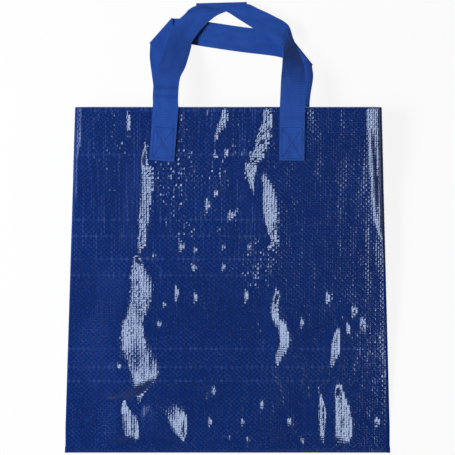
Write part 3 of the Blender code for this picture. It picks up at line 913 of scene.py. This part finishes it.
def smoothCurve(points, steps):
    padded = [2 * points[0] - points[1], *points, 2 * points[-1] - points[-2]]
    made = [points[0]]
    for a, b, c, d in zip(padded, padded[1:], padded[2:], padded[3:]):
        reach = (c - b).length
        leaving, arriving = (c - a).normalized() * reach, (d - b).normalized() * reach
        for step in range(1, steps + 1):
            t = step / steps
            back = 1 - t
            made.append(b * back * back * (1 + 2 * t) + leaving * t * back * back
                        + c * t * t * (3 - 2 * t) - arriving * t * t * back)
    return made


def smoothLines(lines, steps=12):
    left, right = zip(*lines)
    return list(zip(smoothCurve(left, steps), smoothCurve(right, steps)))


def foldLines(line, lift, outward, steps=12):
    # half a turn round a folded edge, from one layer to the other
    radius = abs(lift) / 2
    lines = []
    for step in range(steps + 1):
        turn = math.pi * step / steps
        shift = outward * radius * math.sin(turn) + Vector((0, 0, lift * (1 - math.cos(turn)) / 2))
        lines.append((line[0] + shift, line[1] + shift))
    return lines


def frontRoute():
    ends = [crossLine(frontEndMiddle(side, y), -handle["frontSlants"][side], 0, 1)
            for side in (-1, 1) for y in (patchY, mouthY)]
    folded = foldLines(frontStation(frontFold), handle["looseRoll"], Vector((0, 1, 0)))
    lines = [ends[0]]
    lines += smoothLines([ends[1], *map(frontStation, frontClimb), folded[0]])[:-1]
    lines += folded
    lines += smoothLines([folded[-1], *map(frontStation, frontFall), ends[3]])[1:]
    lines.append(ends[2])
    return lines


def backRoute():
    ends = []
    for side, angle in ((-1, 0), (1, math.pi)):
        x = side * handle["backSpacing"] / 2 + handle["backShift"]
        ends += [crossLine(Vector((x, y, backStrapZ)), angle, 0, 1) for y in (patchY, mouthY)]
    leftFold = foldLines(backStation(backLeftFold), -mitreLift, Vector((-0.75, 0.66, 0)))
    rightTop = [place + Vector((0, 0, mitreLift)) for place in backStation(backRightFold)]
    rightFold = foldLines(rightTop, -mitreLift, Vector((0.78, 0.62, 0)))
    lines = [ends[0]]
    lines += smoothLines([ends[1], *map(backStation, backClimb), leftFold[0]])[:-1]
    lines += leftFold
    lines += smoothLines([leftFold[-1], *map(backStation, backRun), rightFold[0]])[1:-1]
    lines += rightFold
    lines += smoothLines([rightFold[-1], *map(backStation, backFall), ends[3]])[1:]
    lines.append(ends[2])
    return lines


def resample(lines, pitch):
    # the same route with cross lines at an even distance along its middle
    left = np.array([a for a, b in lines])
    right = np.array([b for a, b in lines])
    middle = (left + right) / 2
    along = np.concatenate([[0], np.cumsum(np.linalg.norm(np.diff(middle, axis=0), axis=1))])
    count = int(along[-1] / pitch)
    at = np.linspace(0, along[-1], count + 1)
    left = np.stack([np.interp(at, along, left[:, k]) for k in range(3)], axis=1)
    right = np.stack([np.interp(at, along, right[:, k]) for k in range(3)], axis=1)
    return left, right, at


def makeStrap(name, lines, columns=14):
    left, right, along = resample(lines, handle["ribPitch"] / 3)
    obj, column, row = addGrid(name, columns, len(along) - 1)
    share = column / columns
    middle = (left + right) / 2
    forward = np.gradient(middle, axis=0)
    normal = np.cross(right - left, forward)
    normal /= np.linalg.norm(normal, axis=1)[:, None]
    places = left[row] * (1 - share)[:, None] + right[row] * share[:, None]
    rib = handle["ribHeight"] * np.cos(2 * math.pi * along[row] / handle["ribPitch"])
    rib = rib * (np.abs(share - 0.5) < 0.46)  # the selvedges are flat
    places += normal[row] * rib[:, None]
    setPlaces(obj, places)
    setUv(obj, "strap", np.stack([share * handle["yarns"], along[row] / handle["ribPitch"]], axis=1))
    solid = obj.modifiers.new("thickness", "SOLIDIFY")
    solid.thickness = handle["thickness"] - 2 * handle["ribHeight"]
    solid.offset = 0.0
    applyModifiers(obj)
    makeActive(obj)
    bpy.ops.object.mode_set(mode="EDIT")
    bpy.ops.mesh.select_all(action="SELECT")
    bpy.ops.mesh.normals_make_consistent(inside=False)
    bpy.ops.object.mode_set(mode="OBJECT")
    bpy.ops.object.shade_smooth_by_angle(angle=math.radians(50))
    obj.data.materials.append(webbing)
    return obj


# Stitching

stitch = {
    "length": 0.0026,
    "gap": 0.0007,
    "thickness": 0.0007,
    "boxLength": 0.031,
    "boxMargin": 0.0022,
    "seamHeight": 0.0030,  # above the bottom edge
    "seamMargin": 0.009,
    "sink": 0.0001,  # from a stitch's middle to the surface
    "underBack": 0.00038,  # height of the stitches between the floor and the back handle
}


def makeStitch():
    # one stitch: a little rope end to end, dipping at both ends
    deselectAll()
    bpy.ops.mesh.primitive_cylinder_add(vertices=8, radius=stitch["thickness"] / 2,
                                        depth=stitch["length"], rotation=(0, math.pi / 2, 0))
    one = bpy.context.object
    one.name = "stitch"
    bpy.ops.object.transform_apply(location=False, rotation=True, scale=False)
    bpy.ops.object.mode_set(mode="EDIT")
    bpy.ops.mesh.select_all(action="SELECT")
    bpy.ops.mesh.bevel(offset=stitch["thickness"] * 0.28, segments=2, affect="EDGES")
    bpy.ops.object.mode_set(mode="OBJECT")
    for vert in one.data.vertices:
        vert.co.z -= 0.45 * stitch["thickness"] * (2 * vert.co.x / stitch["length"]) ** 2
    return one


def stitchRun(one, start, end):
    # copies of the stitch between two points of a flat pattern
    start, end = Vector((*start, 0)), Vector((*end, 0))
    reach = (end - start).length
    count = max(1, round(reach / (stitch["length"] + stitch["gap"])))
    heading = Matrix.Rotation(math.atan2(end.y - start.y, end.x - start.x), 4, "Z")
    made = []
    for i in range(count):
        copy = one.copy()
        copy.data = one.data.copy()
        bpy.context.scene.collection.objects.link(copy)
        copy.matrix_world = Matrix.Translation(start.lerp(end, (i + 0.5) / count)) @ heading
        made.append(copy)
    return made


def joinStitches(parts, name, place):
    deselectAll()
    for part in parts:
        part.matrix_world = place @ part.matrix_world
        part.select_set(True)
    bpy.context.view_layer.objects.active = parts[0]
    bpy.ops.object.join()
    obj = bpy.context.object
    obj.name = name
    obj.data.name = name
    bpy.ops.object.transform_apply(location=True, rotation=True, scale=True)
    bpy.ops.object.shade_smooth()
    obj.data.materials.clear()
    obj.data.materials.append(sewingThread)
    return obj


def boxPattern(one):
    halfX = handle["width"] / 2 - stitch["boxMargin"] - stitch["thickness"] / 2
    halfY = stitch["boxLength"] / 2 - stitch["thickness"] / 2
    corners = [(-halfX, -halfY), (halfX, -halfY), (halfX, halfY), (-halfX, halfY)]
    runs = [(corners[i - 1], corners[i]) for i in range(4)]
    runs += [(corners[0], corners[2]), (corners[1], corners[3])]
    return [part for run in runs for part in stitchRun(one, *run)]


print("building the bag body")
bagBody = makeBagBody()
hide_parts("bag_body")
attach(bagBody, "root")

print("building the handles")
frontHandle = makeStrap("frontHandle", frontRoute())
backHandle = makeStrap("backHandle", backRoute())
for strap, node in ((frontHandle, "front_handle"), (backHandle, "back_handle")):
    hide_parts(node)
    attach(strap, "root")

print("sewing")
oneStitch = makeStitch()
sewnMiddle = patchY + stitch["boxMargin"] + stitch["boxLength"] / 2
slope = math.atan((frontStrapZ(mouthY) - frontStrapZ(patchY)) / bag["patchLength"])
sewn = []
for side, word in ((-1, "Left"), (1, "Right")):
    out = handle["thickness"] / 2 / math.cos(slope) + stitch["sink"]
    top = Matrix.Translation(frontEndMiddle(side, sewnMiddle) + Vector((0, 0, out)))
    turned = Matrix.Rotation(-handle["frontSlants"][side], 4, "Z") @ Matrix.Rotation(slope, 4, "X")
    onFront = joinStitches(boxPattern(oneStitch), f"front{word}Stitching", top @ turned)
    sewn.append((onFront, f"front_{word.lower()}_stitching"))
    x = side * handle["backSpacing"] / 2 + handle["backShift"]
    under = Matrix.Translation((x, sewnMiddle, stitch["underBack"]))
    onBack = joinStitches(boxPattern(oneStitch), f"back{word}Stitching", under)
    sewn.append((onBack, f"back_{word.lower()}_stitching"))
seamHalf = bag["tubeWidth"] / 2 - stitch["seamMargin"]
seamZ = bag["floorGap"] + flatDepth + bag["hemRelief"] + stitch["sink"]
seam = Matrix.Translation((0, bottomY + stitch["seamHeight"], seamZ))
seamRun = stitchRun(oneStitch, (-seamHalf, 0), (seamHalf, 0))
sewn.append((joinStitches(seamRun, "bottomSeamStitching", seam), "bottom_seam_stitching"))
bpy.data.objects.remove(oneStitch, do_unlink=True)
for obj, node in sewn:
    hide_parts(node)
    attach(obj, "root")

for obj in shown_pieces():
    print(obj.name, len(obj.data.polygons), "faces")
print("finishing")
